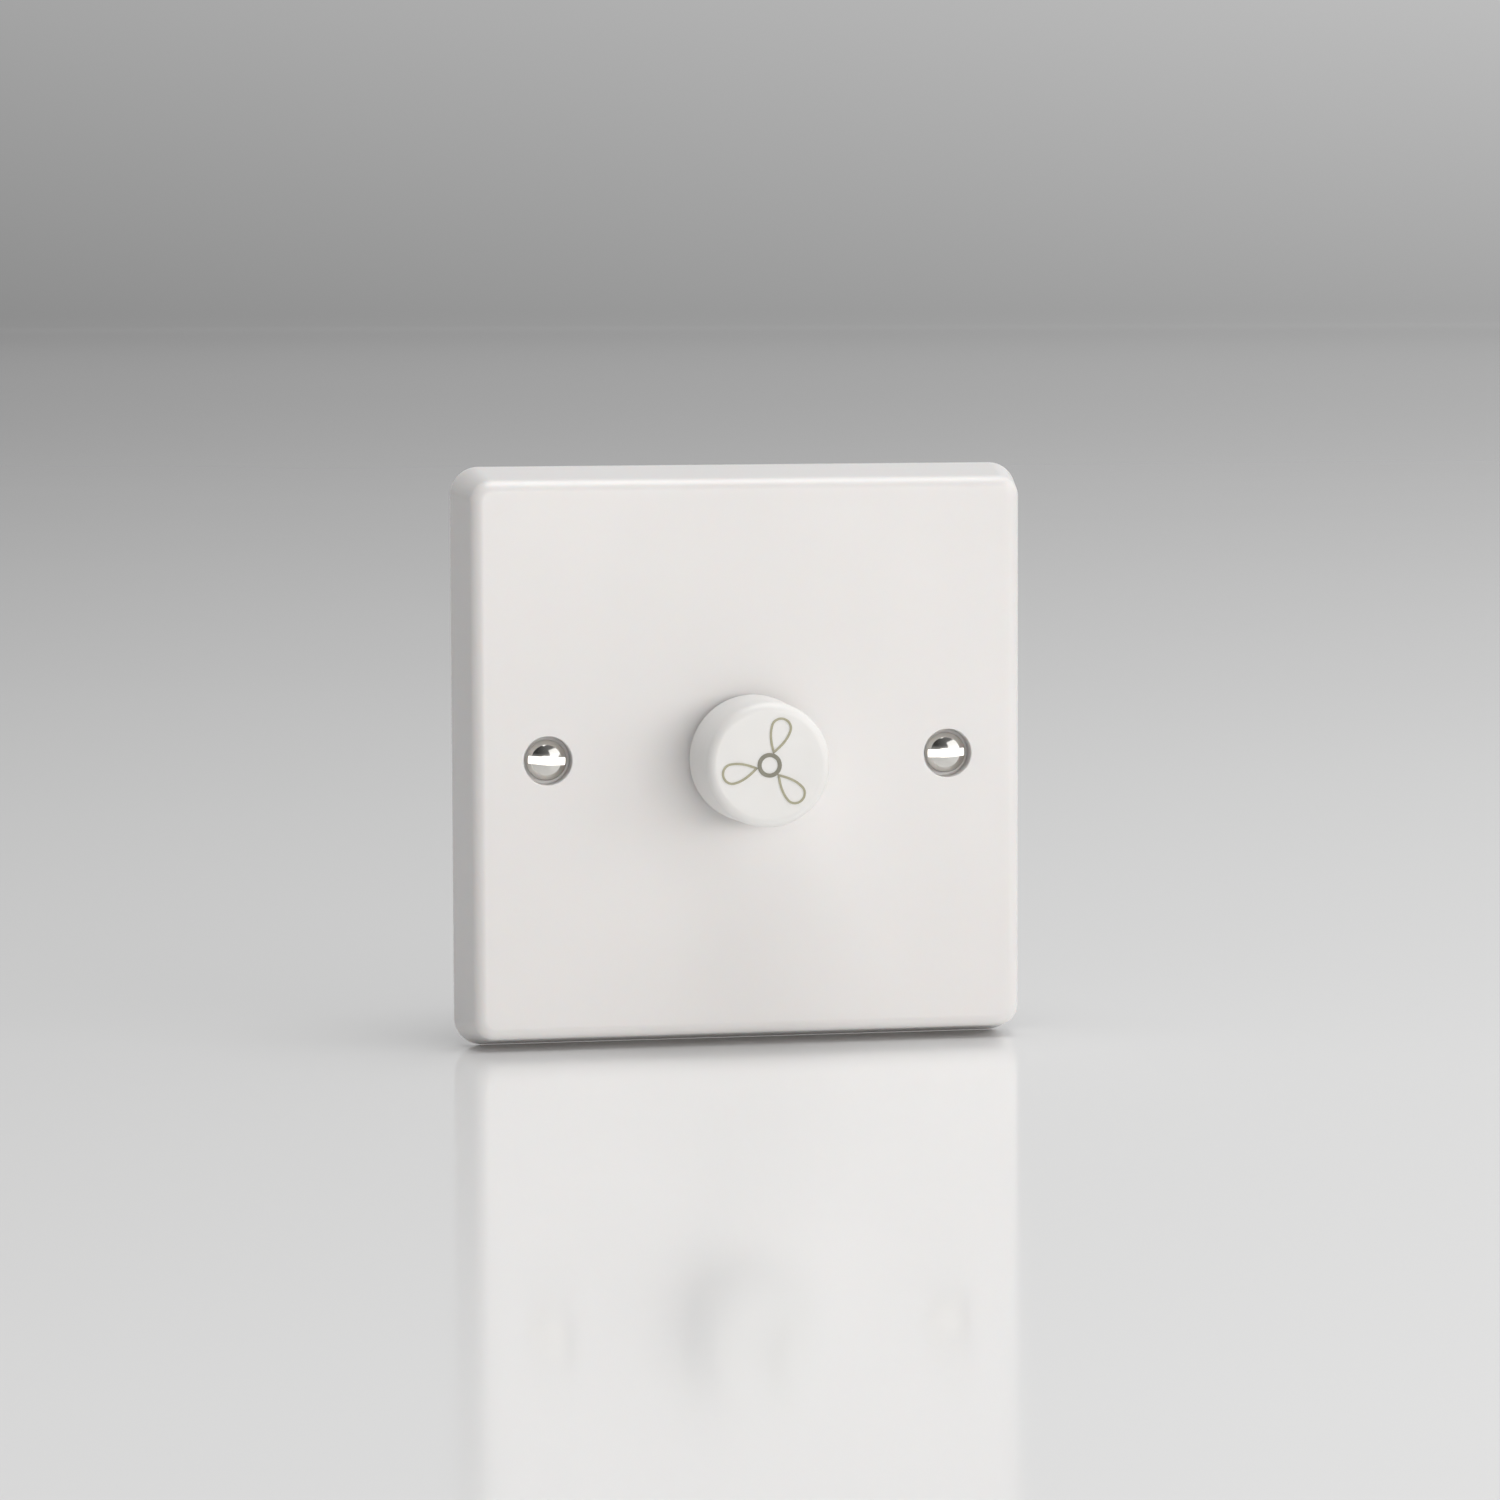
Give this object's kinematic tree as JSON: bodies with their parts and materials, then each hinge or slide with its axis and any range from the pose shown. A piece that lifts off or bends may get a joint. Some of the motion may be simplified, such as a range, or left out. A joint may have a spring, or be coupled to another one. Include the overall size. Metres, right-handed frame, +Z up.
{
  "type": "rotary dimmer switch",
  "caption": "White square wall plate with a round push-and-turn knob that carries a fan pictogram, slotted fixing screws and the control module behind.",
  "frame": {"origin": "on the knob's axis, in the plane of the plate's back rim, where the wall is", "axes": "+Z up, -Y out of the wall towards the user, +X to the right seen from the front"},
  "size_m": [0.086, 0.0471, 0.086],
  "materials": {
    "urea_plate": "compression moulded, soft gloss",
    "knob_abs": "moulded ABS, fine satin",
    "symbol_print": "pad-printed olive grey ink",
    "bright_screw": "nickel plated steel",
    "zinc_steel": "bright zinc plated steel",
    "spring_steel": "oiled spring steel",
    "aluminium_sheet": "rolled sheet, punched",
    "turned_spindle": "turned and milled",
    "die_cast_bush": "die-cast zinc, nickel plated",
    "black_moulding": "glass-filled PBT, moulded",
    "case_moulding": "moulded polycarbonate, spark texture",
    "natural_nylon": "moulded nylon",
    "phenolic_paper": "punched paper laminate",
    "carbon_ink": "screened carbon film",
    "tinned_strip": "tinned brass strip",
    "contact_brass": "rolled brass, silver-faced rivets",
    "terminal_brass": "machined brass",
    "board_laminate": "green lacquered laminate",
    "solder": "wave soldered tin",
    "silicone_pad": "filled silicone sheet",
    "core_paint": "epoxy coated iron powder",
    "enamelled_copper": "enamelled copper wire",
    "film_capacitor": "potted box",
    "dipped_capacitor": "epoxy box",
    "resistor_lacquer": "lacquered film resistors",
    "diode_glass": "glass diode",
    "fuse_glass": "drawn glass tube",
    "fuse_cap_nickel": "nickel plated brass"
  },
  "bodies": {
    "housing": {"front_plate": "urea_plate", "fixing_screws": "bright_screw", "bush_nut": "zinc_steel", "lock_washer": "zinc_steel", "case_screws": "zinc_steel", "triac_screw": "zinc_steel", "terminal_screws": "zinc_steel", "return_spring": "spring_steel", "heatsink_plate": "aluminium_sheet", "pot_bush": "die_cast_bush", "pot_housing": "black_moulding", "switch_base": "black_moulding", "switch_cover": "black_moulding", "triac_body": "black_moulding", "module_case": "case_moulding", "track_wafer": "phenolic_paper", "resistive_track": "carbon_ink", "pot_terminals": "tinned_strip", "triac_tab": "tinned_strip", "fuse_clips": "tinned_strip", "switch_contacts": "contact_brass", "terminal_clamps": "terminal_brass", "circuit_board": "board_laminate", "solder_joints": "solder", "insulating_pad": "silicone_pad", "choke_core": "core_paint", "choke_winding": "enamelled_copper", "suppression_capacitor": "film_capacitor", "timing_capacitor": "dipped_capacitor", "resistors": "resistor_lacquer", "trigger_diode": "diode_glass", "fuse_tube": "fuse_glass", "fuse_caps": "fuse_cap_nickel"},
    "push_slider": {"switch_plunger": "natural_nylon", "moving_contact": "contact_brass"},
    "knob_spindle": {"spindle": "turned_spindle", "retaining_clip": "spring_steel", "knob": "knob_abs", "knob_spring": "spring_steel", "fan_symbol": "symbol_print"},
    "wiper": {"wiper_rotor": "natural_nylon", "wiper_contact": "contact_brass"}
  },
  "joints": [
    {"name": "knob_push", "type": "slide", "parent": "housing", "child": "push_slider", "axis": [0, 1, 0], "range_m": [0, 0.0015], "stiffness_N_per_m": 400, "springref_m": -0.0015, "deforming": ["return_spring"]},
    {"name": "knob_turn", "type": "hinge", "parent": "push_slider", "child": "knob_spindle", "pos_m": [0, 0, 0], "axis": [0, 1, 0], "range_deg": [-135, 135]},
    {"name": "wiper_turn", "type": "hinge", "parent": "housing", "child": "wiper", "pos_m": [0, 0, 0], "axis": [0, 1, 0], "range_deg": [-135, 135]}
  ],
  "couplings": [
    {"joint": "wiper_turn", "follows": "knob_turn", "ratio": 1}
  ]
}
